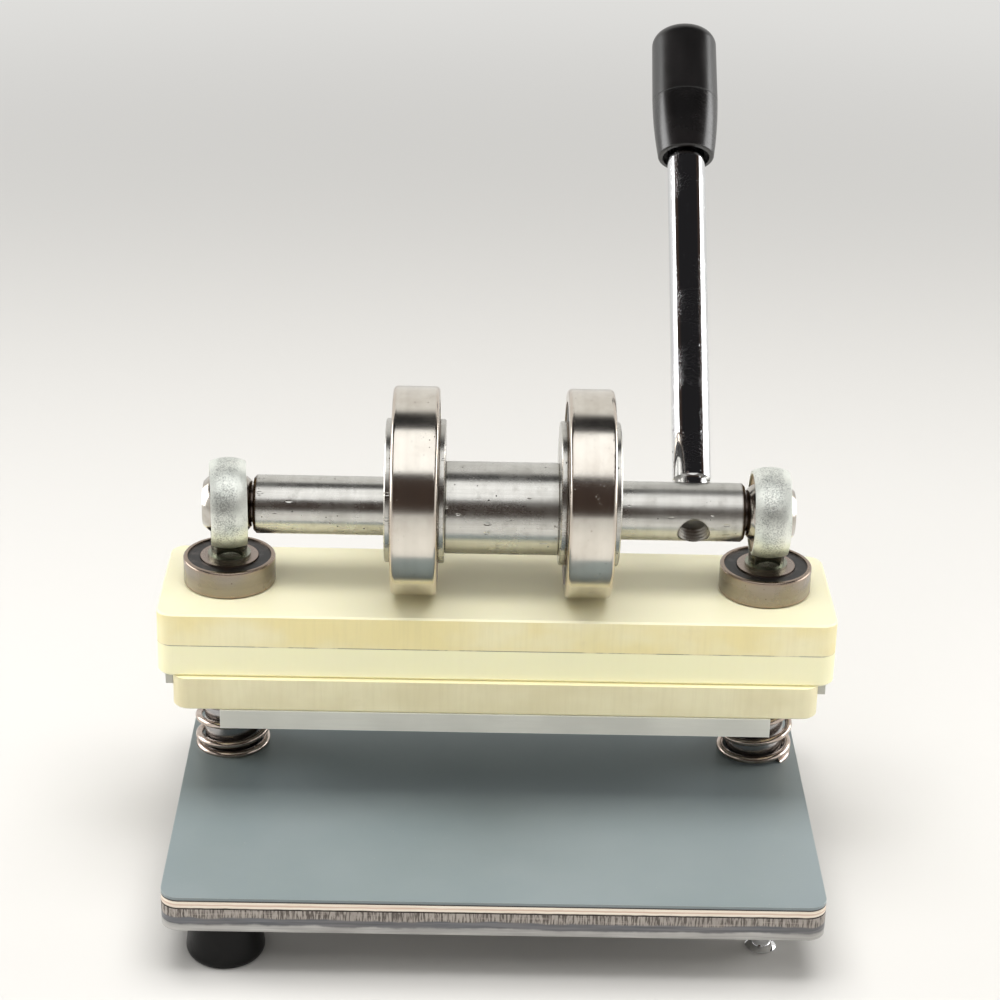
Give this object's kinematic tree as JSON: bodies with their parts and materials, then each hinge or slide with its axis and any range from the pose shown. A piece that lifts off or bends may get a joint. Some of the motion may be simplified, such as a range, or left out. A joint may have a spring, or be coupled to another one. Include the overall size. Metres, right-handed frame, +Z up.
{
  "type": "leather belt embossing machine",
  "caption": "Bench press for belts: a hand lever turns a camshaft whose roller bearings push a sprung plate head down two posts onto a flat bed",
  "frame": {"origin": "Centre of the machine's outline from above, on the bench plane under the feet, lever at rest", "axes": "X to the right along the camshaft, Y to the back, Z up"},
  "size_m": [0.292, 0.314, 0.3259],
  "materials": {
    "plate_steel": "sawn and ground edge, dull",
    "core_board": "pale board, cut edge",
    "work_skin": "satin blue-grey skin",
    "post_steel": "ground",
    "screw_steel": "zinc plated",
    "spring_steel": "oiled spring wire",
    "zinc_steel": "yellow zinc",
    "liner": "dull bearing liner",
    "bearing_steel": "ground, faint brown wear",
    "seal_rubber": "dark, greasy",
    "foot_rubber": "black",
    "bright_screw": "bright",
    "turned_steel": "turned, satin, fine pits",
    "lever_chrome": "bright with light scratches",
    "grip_plastic": "glossy black",
    "ball_steel": "polished",
    "cream_plate": "sawn cast nylon, semi-matt",
    "pad_plastic": "white-grey, smooth",
    "bush_bronze": "plain bearing bronze",
    "strip_plastic": "grey"
  },
  "bodies": {
    "base": {"base_plate": "plate_steel", "core_board": "core_board", "work_surface": "work_skin", "left_post": "post_steel", "right_post": "post_steel", "post_screws": "screw_steel", "left_spring": "spring_steel", "right_spring": "spring_steel", "left_rod_end": "zinc_steel", "right_rod_end": "zinc_steel", "left_rod_end_liner": "liner", "right_rod_end_liner": "liner", "left_stop_outer_race": "bearing_steel", "left_stop_inner_race": "bearing_steel", "left_stop_seals": "seal_rubber", "right_stop_outer_race": "bearing_steel", "right_stop_inner_race": "bearing_steel", "right_stop_seals": "seal_rubber", "foot_front_left": "foot_rubber", "foot_rear_left": "foot_rubber", "foot_rear_right": "foot_rubber", "foot_screws": "screw_steel", "levelling_screw": "bright_screw"},
    "camshaft_unit": {"camshaft": "turned_steel", "spacer_sleeve": "turned_steel", "left_cam_hub": "turned_steel", "right_cam_hub": "turned_steel", "left_cam_cap": "turned_steel", "right_cam_cap": "turned_steel", "cam_keys": "turned_steel", "left_roller_inner_race": "bearing_steel", "right_roller_inner_race": "bearing_steel", "lever_rod": "lever_chrome", "lever_grip": "grip_plastic", "left_rod_end_ball": "ball_steel", "right_rod_end_ball": "ball_steel"},
    "left_roller": {"left_roller_outer_race": "bearing_steel", "left_roller_seals": "seal_rubber", "left_roller_balls": "ball_steel"},
    "right_roller": {"right_roller_outer_race": "bearing_steel", "right_roller_seals": "seal_rubber", "right_roller_balls": "ball_steel"},
    "press_head": {"upper_plate": "cream_plate", "middle_plate": "cream_plate", "lower_plate": "cream_plate", "press_pad": "pad_plastic", "left_guide_bush": "bush_bronze", "right_guide_bush": "bush_bronze", "locating_strips": "strip_plastic", "plate_screws": "screw_steel", "pad_screws": "screw_steel"}
  },
  "joints": [
    {"name": "lever_turn", "type": "hinge", "parent": "base", "child": "camshaft_unit", "pos_m": [0, -0.027, 0.1531], "axis": [1, 0, 0], "range_deg": [0, 125]},
    {"name": "press_slide", "type": "slide", "parent": "base", "child": "press_head", "axis": [0, 0, -1], "range_m": [0, 0.0157], "stiffness_N_per_m": 2500, "springref_m": -0.012, "deforming": ["left_spring", "right_spring"]},
    {"name": "left_roller_spin", "type": "hinge", "parent": "camshaft_unit", "child": "left_roller", "pos_m": [-0.0362, -0.0293, 0.1617], "axis": [1, 0, 0], "continuous": true},
    {"name": "right_roller_spin", "type": "hinge", "parent": "camshaft_unit", "child": "right_roller", "pos_m": [0.0384, -0.0293, 0.1617], "axis": [1, 0, 0], "continuous": true}
  ],
  "couplings": [
    {"joint": "press_slide", "follows": "lever_turn", "m_per_rad": 0.00714}
  ]
}
